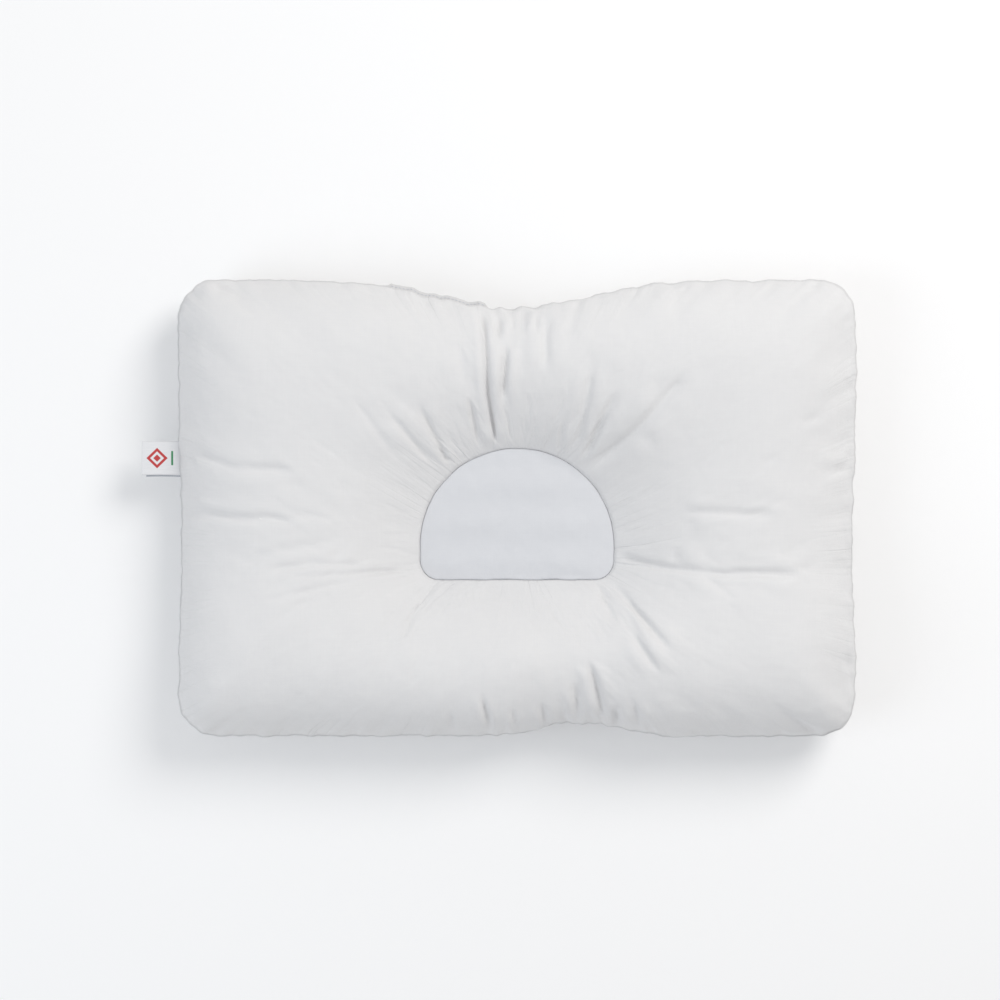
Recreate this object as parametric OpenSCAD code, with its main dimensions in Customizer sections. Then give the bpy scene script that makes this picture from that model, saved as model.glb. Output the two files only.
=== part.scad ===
// Cervical support pillow with a sunk D-shaped head panel.
// It lies on its back panel: +Z is up, +Y points to the crown edge, and the neck roll is on the -Y side.
// The origin is on the bed, under the middle of the pillow.

/* [Pillow] */
// Length of the pillow between its two side seams
pillow_w = 610; // [480:5:740]
// Depth of the pillow between its neck seam and its crown seam
pillow_d = 410; // [340:5:500]
// Radius of the four corners of the edge seam
corner_r = 34; // [20:1:60]
// How far the crown edge is drawn in at its middle
crown_waist = 26; // [0:1:40]
// How far the neck edge is drawn in near its middle
neck_waist = 12; // [0:1:30]
// How far the two side edges are drawn in
side_waist = 3; // [0:1:15]

/* [Loft] */
// Height of the neck roll above the bed
neck_crest = 112; // [85:1:150]
// Height of the crown roll above the bed
crown_crest = 104; // [80:1:140]
// Height of the two side lobes above the bed
side_crest = 94; // [75:1:130]
// How much lower the rolls are at the drawn-in middle
waist_drop = 8; // [0:1:15]
// Height of the edge seam above the bed
seam_h = 44; // [30:1:55]

/* [Head panel] */
// Width of the D
head_w = 175; // [120:1:220]
// Depth of the D, from its flat edge to the top of its arc
head_d = 119; // [100:1:150]
// Distance from the flat edge of the D to its widest line
head_low = 30; // [22:1:40]
// Radius of the two corners of the flat edge
head_corner_r = 18; // [10:1:22]
// Distance from the pillow's middle to the flat edge of the D
head_front = 65; // [45:1:90]
// Height of the head panel above the bed
head_h = 46; // [30:1:60]

/* [Fabric] */
// Thickness of the ticking
ticking_t = 0.6; // [0.3:0.1:1.2]
// Width of the raw edges turned in at every seam
seam_allowance = 9; // [5:0.5:12]
// Play between two layers of fabric in a seam
layer_gap = 0.15; // [0.1:0.05:0.3]
// How far the knife edge stands out past the lobes
seam_ridge = 0.8; // [0.5:0.1:2]
// Diameter of the sewing thread
thread_d = 0.5; // [0.3:0.1:0.8]

/* [Closing seam] */
// Length of the seam that was sewn shut after filling
closing_length = 84; // [60:1:130]
// Distance of its middle from the pillow's middle, towards the left side
closing_offset = 72; // [50:1:110]
// Width of its flat lip
closing_lip = 4; // [3:0.5:6]
// Distance between two topstitches
stitch_pitch = 3.5; // [3:0.1:5]
// Length of one topstitch
stitch_length = 2.4; // [1.5:0.1:2.8]

/* [Fill] */
// Play between the ticking and the fibre fill
fill_gap = 0.6; // [0.3:0.1:1]
// Play between the fill and the turned-in raw edges
slot_gap = 0.5; // [0.3:0.1:1]

/* [Labels] */
// Width of the woven side label, along the side seam
label_w = 31; // [20:1:45]
// How far the woven label stands out of the seam
label_l = 33; // [20:1:45]
// Distance from the pillow's middle to the label's middle, towards the crown
label_y = 45; // [0:1:80]
// Thickness of one leaf of the woven label
leaf_t = 0.35; // [0.2:0.05:0.5]
// Radius of the label's folded end
label_fold_r = 0.75; // [0.6:0.05:1]
// Play between the seam and the labels, about their fold line
label_gap = 1; // [1:0.1:2]
// Thickness of the care label
care_t = 0.2; // [0.1:0.05:0.3]
// How far the care label shows past the woven label's lower edge
care_shift = 1.5; // [0:0.5:4]
// How much shorter and narrower the care label is
care_shorter = 4; // [1:1:8]
// How far from the fold line the care label starts
care_start = 2; // [2:0.5:4]

/* [Hidden] */

quarter_steps = 22;       // stations in a quarter of each outline
corner_boost = 2.5;       // how much closer the stations stand round a corner
rise_steps = 5;           // points from the D seam up to the crest
fall_steps = 7;           // points from the crest down to the edge seam
base_steps = 5;           // points from the bed up to the edge seam
crest_at = 0.5;           // where the crest lies between the D seam and the edge seam
floor_at = 0.62;          // how far out the back panel lies flat on the bed
corner_drop = 0.32;       // share of the loft that is lost towards a corner
crown_waist_x = -6;       // where the crown edge is drawn in most
crown_waist_span = 95;
neck_waist_x = 56;        // where the neck edge is drawn in most
neck_waist_span = 50;
side_waist_y = -30;       // where the side edges are drawn in most
side_waist_span = 70;
hair = 0.05;              // a thread lies this far off the fabric that it holds
end_play = 0.03;          // a lobe's fill stops this share of a station short of the next lobe
wall_top_gap = 1;         // the centre wall's raw edge lies this far below the head panel
head_stitch_depth = 4;    // the D seam's stitches run this far below the head panel
edge_stitch_inset = 3;    // the edge seam's stitches run this far inside the fold

white = [0.93, 0.93, 0.94];
cool_white = [0.87, 0.89, 0.92];
fibre_white = [0.97, 0.97, 0.96];
thread_white = [0.82, 0.84, 0.88];

layer = ticking_t + layer_gap;
head_y = head_low - head_front;
head_top = head_d - head_low;
head_arc_r = min(head_w / 2, head_top);
// The head panel's raw edge hangs inside the centre wall, and the top panel's hangs outside it.
head_fold = -layer;
head_fold_in = head_fold - ticking_t;
top_fold = layer_gap;
top_fold_out = top_fold + ticking_t;
pad_edge = head_fold_in - hair - thread_d - fill_gap;
fill_edge = top_fold_out + hair + thread_d + fill_gap;
fill_inset = ticking_t + fill_gap;
foot_top = layer + ticking_t;
flange_low = layer_gap / 2;
flange_high = flange_low + ticking_t;
slot_half = flange_high + hair + thread_d + slot_gap;
stitch_faces = 24;

// ---- Outlines -------------------------------------------------------------------------------

// A point on a quarter of a rounded rectangle: f runs from 0 at (hx, 0) to 1 at (0, hy).
function quarter(hx, hy, r, f) =
    let (up = hy - r, round_it = corner_boost * r * PI / 2, along = hx - r,
         s = f * (up + round_it + along))
    s < up ? [hx, s] :
    s < up + round_it
        ? let (a = 90 * (s - up) / round_it) [hx - r + r * cos(a), hy - r + r * sin(a)]
        : [hx - r - (s - up - round_it), hy];

// A point on a whole outline at station s, counted from +X towards +Y.
function outline(hx, high, low, high_r, low_r, s) =
    let (turn = s / quarter_steps, q = floor(turn) % 4, f = turn - floor(turn),
         upper = q < 2,
         p = quarter(hx, upper ? high : low, upper ? high_r : low_r, q % 2 == 0 ? f : 1 - f))
    [q == 0 || q == 3 ? p.x : -p.x, upper ? p.y : -p.y];

// The D seam at station s, moved out by off.
function head_ring(s, off) =
    [0, head_y] + outline(head_w / 2 + off, head_top + off, head_low + off,
                          head_arc_r + off, head_corner_r + off, s);

function bell(x, middle, span) = exp(-pow((x - middle) / span, 2));
function side_dip(y) = side_waist * bell(y, side_waist_y, side_waist_span);
function crown_dip(x) = crown_waist * bell(x, crown_waist_x, crown_waist_span);
function neck_dip(x) = neck_waist * bell(x, neck_waist_x, neck_waist_span);

// The edge seam at station s.
function edge(s) =
    let (hx = pillow_w / 2, hy = pillow_d / 2, p = outline(hx, hy, hy, corner_r, corner_r, s),
         ax = abs(p.x) / hx, ay = abs(p.y) / hy)
    [p.x - sign(p.x) * side_dip(p.y) * pow(ax, 4),
     p.y - (p.y > 0 ? crown_dip(p.x) : -neck_dip(p.x)) * pow(ay, 4)];

// The edge seam moved in by d along the line to the D seam. A negative d moves it out.
function edge_in(s, d) =
    let (p = edge(s), q = head_ring(s, 0)) p + (q - p) / norm(q - p) * d;

// The station at which the crown edge passes x.
side_run = pillow_d / 2 - corner_r;
corner_run = corner_boost * corner_r * PI / 2;
quarter_run = side_run + corner_run + pillow_w / 2 - corner_r;
function crown_station(x) = quarter_steps * (1 - x / quarter_run);

// The whole turn of stations: evenly spaced ones, and one at each end of each taper of the closing lip.
whole_turn = 4 * quarter_steps;
least_step = 0.02;
closing_start = closing_length / 2 - closing_offset;
lip_stations = [for (run = [-closing_lip, 0, closing_length, closing_length + closing_lip])
    crown_station(closing_start - run)];
stations = [for (k = [0 : whole_turn - 1]) each concat([k],
    [for (s = lip_stations) if (s > k + least_step && s < k + 1 - least_step) s])];

// ---- Heights --------------------------------------------------------------------------------

function ease(t) = let (u = max(0, min(1, t))) u * u * (3 - 2 * u);

// The height of the lobe that station s crosses.
function crest(s) =
    let (p = edge(s), ax = abs(p.x) / (pillow_w / 2), ay = abs(p.y) / (pillow_d / 2),
         roll = p.y > 0 ? crown_crest : neck_crest,
         waist = p.y > 0 ? bell(p.x, crown_waist_x, crown_waist_span)
                         : bell(p.x, neck_waist_x, neck_waist_span),
         roll_share = ease((ay - 0.35) / 0.65),
         high = side_crest + (roll - waist_drop * waist - side_crest) * roll_share)
    seam_h + (high - seam_h) * (1 - corner_drop * pow(ax * ay, 6));

function lifted(p, z) = [p.x, p.y, z];
function between(q, p, v, z) = lifted(q + (p - q) * v, z);

// The upper surface from the D seam to just above the edge seam, a distance inset below the fabric.
function top_curve(s, inset, start) =
    let (q = head_ring(s, start), p = edge_in(s, inset), low = head_h - inset,
         high = crest(s) - inset)
    concat(
        [for (k = [0 : rise_steps]) let (a = 90 * k / rise_steps)
            between(q, p, crest_at * k / rise_steps, low + (high - low) * sin(a))],
        [for (k = [1 : fall_steps - 1]) let (a = 90 * k / fall_steps)
            between(q, p, crest_at + (1 - crest_at) * sin(a), seam_h + (high - seam_h) * cos(a))]);

// The lower surface from just below the edge seam in to the D seam, a distance inset above the bed.
function base_curve(s, inset, start) =
    let (q = head_ring(s, start), p = edge_in(s, inset))
    concat(
        [for (k = [base_steps - 1 : -1 : 0]) let (a = 90 * k / base_steps)
            between(q, p, floor_at + (1 - floor_at) * sin(a), seam_h - (seam_h - inset) * cos(a))],
        [lifted(q, inset)]);

// ---- Solids from rings of stations ----------------------------------------------------------

function reversed(list) = [for (k = [len(list) - 1 : -1 : 0]) list[k]];

// A solid swept through closed sections, which run clockwise seen from before the first of them.
module loft(sections, closed) {
    n = len(sections);
    k_max = len(sections[0]);
    last = closed ? n - 1 : n - 2;
    walls = [for (i = [0 : last], k = [0 : k_max - 1])
        let (j = (i + 1) % n, m = (k + 1) % k_max)
        each [[i * k_max + k, j * k_max + k, j * k_max + m],
              [i * k_max + k, j * k_max + m, i * k_max + m]]];
    caps = closed ? [] : [[for (k = [0 : k_max - 1]) k],
                          [for (k = [k_max - 1 : -1 : 0]) (n - 1) * k_max + k]];
    polyhedron([for (section = sections) each section], concat(walls, caps), 4);
}

// A disc-like solid: rings run from the axis below, out and round, to the axis above.
module dome(rings, low_z, high_z) {
    n = len(rings[0]);
    count = len(rings);
    points = concat([for (ring = rings) each ring], [[0, head_y, low_z], [0, head_y, high_z]]);
    low = count * n;
    high = low + 1;
    faces = concat(
        [for (i = [0 : n - 1]) [low, i, (i + 1) % n]],
        [for (j = [0 : count - 2], i = [0 : n - 1]) let (m = (i + 1) % n)
            each [[j * n + i, (j + 1) * n + i, (j + 1) * n + m],
                  [j * n + i, (j + 1) * n + m, j * n + m]]],
        [for (i = [0 : n - 1]) [high, (count - 1) * n + (i + 1) % n, (count - 1) * n + i]]);
    polyhedron(points, faces, 4);
}

function head_rings(rows) = [for (row = rows) [for (s = stations)
    lifted(head_ring(s, row[0]), row[1])]];

// One run of thread, a diamond in section, centred off from the D seam or inset from the edge.
function thread_section(low, high, z) =
    let (mid = (low + high) / 2)
    [lifted(low, z), lifted(mid, z + thread_d / 2), lifted(high, z), lifted(mid, z - thread_d / 2)];
module head_thread(off, z)
    loft([for (s = stations)
        thread_section(head_ring(s, off), head_ring(s, off + thread_d), z)], true);
module edge_thread(inset, z)
    loft([for (s = stations)
        thread_section(edge_in(s, inset + thread_d), edge_in(s, inset), z)], true);

// ---- Casing ---------------------------------------------------------------------------------

// How far the knife edge stands out at station s: a ridge all round, and a lip along the closing seam.
function lip(s) =
    let (p = edge(s), past = abs(p.x + closing_offset) - closing_length / 2)
    p.y > 0 ? seam_ridge + (closing_lip - seam_ridge) * (1 - ease(past / closing_lip)) : seam_ridge;

function top_section(s) = concat(
    [lifted(head_ring(s, top_fold), head_h - seam_allowance)],
    top_curve(s, 0, top_fold),
    [lifted(edge(s), seam_h + flange_high),
     lifted(edge_in(s, -lip(s)), seam_h + flange_high),
     lifted(edge_in(s, -lip(s)), seam_h + flange_low),
     lifted(edge_in(s, seam_allowance), seam_h + flange_low),
     lifted(edge_in(s, seam_allowance), seam_h + flange_high),
     lifted(edge_in(s, ticking_t), seam_h + flange_high)],
    reversed(top_curve(s, ticking_t, top_fold_out)),
    [lifted(head_ring(s, top_fold_out), head_h - seam_allowance)]);

module top_panel()
    color(white) loft([for (s = stations) top_section(s)], true);

function back_section(s) = concat(
    reversed(base_curve(s, 0, 0)),
    [lifted(edge(s), seam_h - flange_high),
     lifted(edge_in(s, -lip(s)), seam_h - flange_high),
     lifted(edge_in(s, -lip(s)), seam_h - flange_low),
     lifted(edge_in(s, seam_allowance), seam_h - flange_low),
     lifted(edge_in(s, seam_allowance), seam_h - flange_high),
     lifted(edge_in(s, ticking_t), seam_h - flange_high)],
    base_curve(s, ticking_t, 0));

module back_panel() {
    sections = [for (s = stations) back_section(s)];
    rings = [for (k = [0 : len(sections[0]) - 1]) [for (section = sections) section[k]]];
    color(white) dome(rings, 0, ticking_t);
}

module head_panel()
    color(cool_white) dome(head_rings([
        [head_fold_in, head_h - ticking_t],
        [head_fold_in, head_h - seam_allowance],
        [head_fold, head_h - seam_allowance],
        [head_fold, head_h]]), head_h - ticking_t, head_h);

// The D-shaped wall that ties the head panel's seam to the back panel, with its foot turned in.
module centre_wall()
    color(cool_white) loft([for (s = stations) [
        lifted(head_ring(s, -seam_allowance), layer),
        lifted(head_ring(s, -seam_allowance), foot_top),
        lifted(head_ring(s, -ticking_t), foot_top),
        lifted(head_ring(s, -ticking_t), head_h - wall_top_gap),
        lifted(head_ring(s, 0), head_h - wall_top_gap),
        lifted(head_ring(s, 0), layer)]], true);

// ---- Fibre fill -----------------------------------------------------------------------------

pad_low = foot_top + hair + thread_d + fill_gap;
pad_high = head_h - fill_inset;
pad_round = min(6, (pad_high - pad_low) / 3);

module head_pad()
    color(fibre_white) dome(head_rings([
        [pad_edge - pad_round, pad_low],
        [pad_edge, pad_low + pad_round],
        [pad_edge, pad_high - pad_round],
        [pad_edge - pad_round, pad_high]]), pad_low, pad_high);

// The point at height z on the line from a to b.
function at_height(a, b, z) = a + (b - a) * (z - a.z) / (b.z - a.z);

// The fill's section has a slot round the edge seam's turned-in raw edges.
function fill_section(s) =
    let (upper = top_curve(s, fill_inset, fill_edge), lower = base_curve(s, fill_inset, fill_edge),
         tip = edge_in(s, fill_inset), slot_end = edge_in(s, seam_allowance + slot_gap),
         slot_top = seam_h + slot_half, slot_base = seam_h - slot_half)
    concat(
        upper,
        [at_height(upper[len(upper) - 1], lifted(tip, seam_h + flange_high), slot_top),
         lifted(slot_end, slot_top),
         lifted(slot_end, slot_base),
         at_height(lower[0], lifted(tip, seam_h - flange_high), slot_base)],
        lower);

// The fill of one lobe, from station first to station last.
module lobe_fill(first, last) {
    turns = concat(stations, [for (s = stations) whole_turn + s]);
    inner = [for (s = turns) if (s > first + 0.5 && s < last - 0.5) s];
    color(fibre_white) loft([for (s = concat(first + end_play, inner, last - end_play))
        fill_section(s)], false);
}

// The station at the middle of the first corner, where two lobes meet.
corner_station = round(quarter_steps * (side_run + corner_run / 2) / quarter_run);
half_turn = whole_turn / 2;

module neck_roll_fill() lobe_fill(half_turn + corner_station, whole_turn - corner_station);
module crown_roll_fill() lobe_fill(corner_station, half_turn - corner_station);
module left_side_fill() lobe_fill(half_turn - corner_station, half_turn + corner_station);
module right_side_fill() lobe_fill(whole_turn - corner_station, whole_turn + corner_station);

// ---- Thread ---------------------------------------------------------------------------------

module edge_seam_thread() {
    z_off = flange_high + hair + thread_d / 2;
    color(thread_white) {
        edge_thread(edge_stitch_inset, seam_h + z_off);
        edge_thread(edge_stitch_inset, seam_h - z_off);
    }
}

module head_seam_thread() {
    color(thread_white) {
        head_thread(top_fold_out + hair, head_h - head_stitch_depth);
        head_thread(head_fold_in - hair - thread_d, head_h - head_stitch_depth);
    }
}

module back_tie_thread()
    color(thread_white) head_thread(-seam_allowance / 2, foot_top + hair + thread_d / 2);

// Topstitches on both faces of the closing seam's lip.
module closing_seam_thread() {
    count = floor(closing_length / stitch_pitch);
    z_off = flange_high + hair + thread_d / 2;
    color(thread_white)
    for (i = [0 : count - 1], face = [-1, 1]) {
        x = -closing_offset + (i - (count - 1) / 2) * stitch_pitch;
        slope = (crown_dip(x - stitch_length) - crown_dip(x + stitch_length)) / (2 * stitch_length);
        translate([x, pillow_d / 2 - crown_dip(x) + closing_lip / 2, seam_h + face * z_off])
            rotate([0, 90, atan(slope)])
                cylinder(h = stitch_length, d = thread_d, center = true, $fn = stitch_faces);
    }
}

// ---- Labels ---------------------------------------------------------------------------------

label_root_x = -(pillow_w / 2 - side_dip(label_y) + seam_ridge + label_gap);
label_half = leaf_t + hair;
fold_steps = 8;

// A strip folded on itself: its two leaves meet at the seam and open into a round fold at the tip.
function label_arc(r) = [for (k = [0 : fold_steps]) let (a = 90 - 180 * k / fold_steps)
    [label_l - label_fold_r + r * cos(a), r * sin(a)]];

module woven_label() {
    profile = concat([[0, label_half]], label_arc(label_fold_r), [[0, -label_half], [0, -hair]],
                     reversed(label_arc(label_fold_r - leaf_t)), [[0, hair]]);
    color(white)
    translate([label_root_x, label_y - label_w / 2, seam_h])
        rotate([90, 0, 180]) linear_extrude(label_w) polygon(profile);
}

module care_label()
    color(white)
    translate([label_root_x - label_l + care_shorter, label_y - label_w / 2 - care_shift,
               seam_h - label_fold_r - 2 * hair - care_t])
        cube([label_l - care_shorter - care_start, label_w - care_shorter, care_t]);

// ---- Nodes ----------------------------------------------------------------------------------

top_panel();
back_panel();
head_panel();
centre_wall();
head_pad();
neck_roll_fill();
crown_roll_fill();
left_side_fill();
right_side_fill();
edge_seam_thread();
head_seam_thread();
back_tie_thread();
closing_seam_thread();
woven_label();
care_label();
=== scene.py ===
"""Cervical support pillow: a sewn white cover over loose fibre fill, with two labels in its left side seam.

Every length is in metres, in the frame of the CAD model: +Z is up, +Y is the crown edge, -Y the neck roll.
"""
import math
import bpy
import numpy as np
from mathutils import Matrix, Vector, noise


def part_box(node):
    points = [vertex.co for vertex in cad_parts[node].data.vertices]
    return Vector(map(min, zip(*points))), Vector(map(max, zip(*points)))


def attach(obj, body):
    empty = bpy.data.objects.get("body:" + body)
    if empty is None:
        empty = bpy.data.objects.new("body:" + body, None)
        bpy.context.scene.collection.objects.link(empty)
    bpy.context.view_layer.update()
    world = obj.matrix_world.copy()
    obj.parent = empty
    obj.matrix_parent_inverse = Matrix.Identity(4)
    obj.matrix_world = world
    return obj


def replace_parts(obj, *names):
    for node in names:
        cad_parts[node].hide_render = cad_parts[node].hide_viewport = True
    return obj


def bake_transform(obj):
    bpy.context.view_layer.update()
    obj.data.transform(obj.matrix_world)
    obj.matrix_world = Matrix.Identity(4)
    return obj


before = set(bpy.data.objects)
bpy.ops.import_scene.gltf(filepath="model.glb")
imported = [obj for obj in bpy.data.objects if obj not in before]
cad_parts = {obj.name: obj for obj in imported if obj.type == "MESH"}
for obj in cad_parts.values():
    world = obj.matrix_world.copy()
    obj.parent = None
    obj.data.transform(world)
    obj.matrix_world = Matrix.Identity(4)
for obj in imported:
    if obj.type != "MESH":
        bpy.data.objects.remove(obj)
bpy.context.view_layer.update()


# ---- Camera, floor and light -------------------------------------------------------------------
# The pillow lies on a white table and is seen from straight above. A large soft light stands beyond
# its crown edge, to the right, and a weak cool one to the left.

CAMERA_AT = (-0.0154, 0.0072, 2.176)
CAMERA_LENS = 85
bpy.ops.object.camera_add(location=CAMERA_AT, rotation=(0, 0, 0))
camera = bpy.context.object
camera.data.lens = CAMERA_LENS
bpy.context.scene.camera = camera
bpy.context.scene.view_settings.view_transform = "Standard"


LIGHTS_AIM = Vector((0, 0, 0.05))


def area_light(name, place, size, power, colour):
    """A round soft light that points at the middle of the pillow."""
    data = bpy.data.lights.new(name, "AREA")
    data.shape = "DISK"
    data.size = size
    data.energy = power
    data.color = colour
    light = bpy.data.objects.new(name, data)
    bpy.context.collection.objects.link(light)
    light.location = place
    light.rotation_euler = (LIGHTS_AIM - Vector(place)).to_track_quat("-Z", "Y").to_euler()


area_light("key_light", (1.2, 1.3, 1.9), size=1.3, power=28.5, colour=(1.0, 0.98, 0.95))
area_light("fill_light", (-1.6, -0.5, 1.5), size=1.4, power=9, colour=(0.85, 0.925, 1.0))

world = bpy.data.worlds.new("studio")
bpy.context.scene.world = world
world.use_nodes = True
room = world.node_tree.nodes["Background"]
room.inputs["Color"].default_value = (0.98, 0.985, 1.0, 1)
room.inputs["Strength"].default_value = 0.62

FLOOR_SIZE, FLOOR_TONE = 6, 0.96
bpy.ops.mesh.primitive_plane_add(size=FLOOR_SIZE, location=(0, 0, 0))
floor = bpy.context.object
floor.name = "floor"
floor_paint = bpy.data.materials.new("floor_paint")
floor_paint.use_nodes = True
floor_shader = floor_paint.node_tree.nodes["Principled BSDF"]
floor_shader.inputs["Base Color"].default_value = (FLOOR_TONE, FLOOR_TONE, FLOOR_TONE, 1)
floor_shader.inputs["Roughness"].default_value = 0.9
floor.data.materials.append(floor_paint)


# ---- Cover: its cut, its folds, and how the fill blows it up ------------------------------------
# The cover is white ticking: a top panel with a D-shaped hole, a back panel, and a head panel in the
# hole. They are sewn on one line round the edge and one round the D, and the D is tied to the back.
# The cover is laid out by formula, with its folds, and a cloth simulation then swells it.


def box_corners(node):
    """The low and the high corner of a CAD node's box."""
    return [Vector(corner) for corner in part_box(node)]


top_low, top_high = box_corners("top_panel")
head_box_low, head_box_high = box_corners("head_panel")
LAYER = 0.00075
RIDGE = 0.0008
HALF_W = (top_high.x - top_low.x) / 2 - RIDGE
HALF_D = 0.205
CORNER_R = 0.034
CROWN_WAIST, CROWN_WAIST_X, CROWN_WAIST_SPAN = 0.026, -0.006, 0.095
NECK_WAIST, NECK_WAIST_X, NECK_WAIST_SPAN = 0.012, 0.056, 0.05
SIDE_WAIST, SIDE_WAIST_Y, SIDE_WAIST_SPAN = 0.003, -0.03, 0.07
HEAD_W = head_box_high.x - head_box_low.x + 2 * LAYER
HEAD_TOP_Y = head_box_high.y + LAYER
HEAD_FRONT_Y = head_box_low.y - LAYER
HEAD_LOW = 0.03
HEAD_Y = HEAD_FRONT_Y + HEAD_LOW
HEAD_CORNER_R = 0.018
HEAD_H = head_box_high.z
SEAM_H = 0.044
NECK_CREST = top_high.z - 0.003
CROWN_CREST = NECK_CREST - 0.008
SIDE_CREST = NECK_CREST - 0.017
WAIST_DROP = 0.006
EDGE_ROUND = 0.078
RIM_FULLNESS = 2.2
HEAD_SLOPE = 0.085
SLOPE_FULLNESS = 1.15
ROLL_START, ROLL_RISE = 0.15, 0.5
CORNER_LOSS = 0.012
UNDERSIDE = 0.0012

STATIONS = 384
TOP_ROWS = 36
BACK_ROWS = 20
CORNER_BOOST = 2.5
WAIST_BOOST = 0.3
CORNER_TURNS = (0.101, 0.399, 0.601, 0.899)


def rounded_outline(half_w, high, low, high_r, low_r, turn):
    """Points of a rounded rectangle, turn from 0 at +X towards +Y, dense round its corners."""
    quarter = np.floor(turn * 4).astype(int) % 4
    share = turn * 4 - np.floor(turn * 4)
    share = np.where(quarter % 2 == 0, share, 1 - share)
    upper = quarter < 2
    half_h = np.where(upper, high, low)
    r = np.where(upper, high_r, low_r)
    up = half_h - r
    bend = CORNER_BOOST * r * math.pi / 2
    run = share * (up + bend + half_w - r)
    angle = np.clip((run - up) / bend, 0, 1) * math.pi / 2
    x = half_w - r + r * np.cos(angle) - np.clip(run - up - bend, 0, None)
    y = np.clip(run, None, up) + r * np.sin(angle)
    return np.stack([np.where((quarter == 0) | (quarter == 3), x, -x), np.where(upper, y, -y)], -1)


def bell(x, middle, span):
    """1 in the middle, falling to nothing on both sides."""
    return np.exp(-((x - middle) / span) ** 2)


def ease(t):
    """From 0 to 1 with a soft start and a soft end."""
    t = np.clip(t, 0, 1)
    return t * t * (3 - 2 * t)


def head_outline(turn, out=0.0):
    """Points of the D: round towards the crown, flat towards the neck. out moves them outwards."""
    high = HEAD_TOP_Y - HEAD_Y
    points = rounded_outline(HEAD_W / 2 + out, high + out, HEAD_LOW + out,
                             min(HEAD_W / 2, high) + out, HEAD_CORNER_R + out, turn)
    return points + np.array([0, HEAD_Y])


def edge_outline(turn):
    """Points of the edge seam: a rounded rectangle drawn in at both rolls and a little at the sides."""
    x, y = rounded_outline(HALF_W, HALF_D, HALF_D, CORNER_R, CORNER_R, turn).T
    dip = np.where(y > 0, CROWN_WAIST * bell(x, CROWN_WAIST_X, CROWN_WAIST_SPAN),
                   -NECK_WAIST * bell(x, NECK_WAIST_X, NECK_WAIST_SPAN))
    side = SIDE_WAIST * bell(y, SIDE_WAIST_Y, SIDE_WAIST_SPAN)
    return np.stack([x - np.sign(x) * side * (abs(x) / HALF_W) ** 4,
                     y - dip * (abs(y) / HALF_D) ** 4], -1)


even = np.arange(STATIONS) / STATIONS
turn = even - WAIST_BOOST / (4 * math.pi) * np.sin(4 * math.pi * (even - 0.25))
head_line = head_outline(turn)
edge_line = edge_outline(turn)


def distance_to(line, x, y):
    """How far each point lies from a closed line."""
    start, step = line, np.roll(line, -1, axis=0) - line
    gap = np.stack([x, y], -1)[..., None, :] - start
    along = np.clip((gap * step).sum(-1) / (step * step).sum(-1), 0, 1)
    return np.linalg.norm(gap - along[..., None] * step, axis=-1).min(-1)


def loft_height(x, y, edge_gap, head_gap):
    """Height of the filled top panel: a pillow sunk round the D."""
    end = np.clip(abs(y) / HALF_D, 0, 1)
    waist = np.where(y > 0, bell(x, CROWN_WAIST_X, CROWN_WAIST_SPAN),
                     bell(x, NECK_WAIST_X, NECK_WAIST_SPAN))
    roll = np.where(y > 0, CROWN_CREST, NECK_CREST) - WAIST_DROP * waist
    high = SIDE_CREST + (roll - SIDE_CREST) * ease((end - ROLL_START) / ROLL_RISE)
    high = high - CORNER_LOSS * (abs(x) / HALF_W * end) ** 3
    rim = 1 - np.clip(edge_gap / EDGE_ROUND, 0, 1)
    pillow = SEAM_H + (high - SEAM_H) * np.sqrt(1 - rim ** RIM_FULLNESS)
    sunk = np.sin(np.clip(head_gap / HEAD_SLOPE, 0, 1) * math.pi / 2) ** SLOPE_FULLNESS
    return HEAD_H + (pillow - HEAD_H) * sunk


FOLD_TIP, BANK_SHARE, BANK_WIDTH = 0.018, 0.5, 1.1
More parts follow.
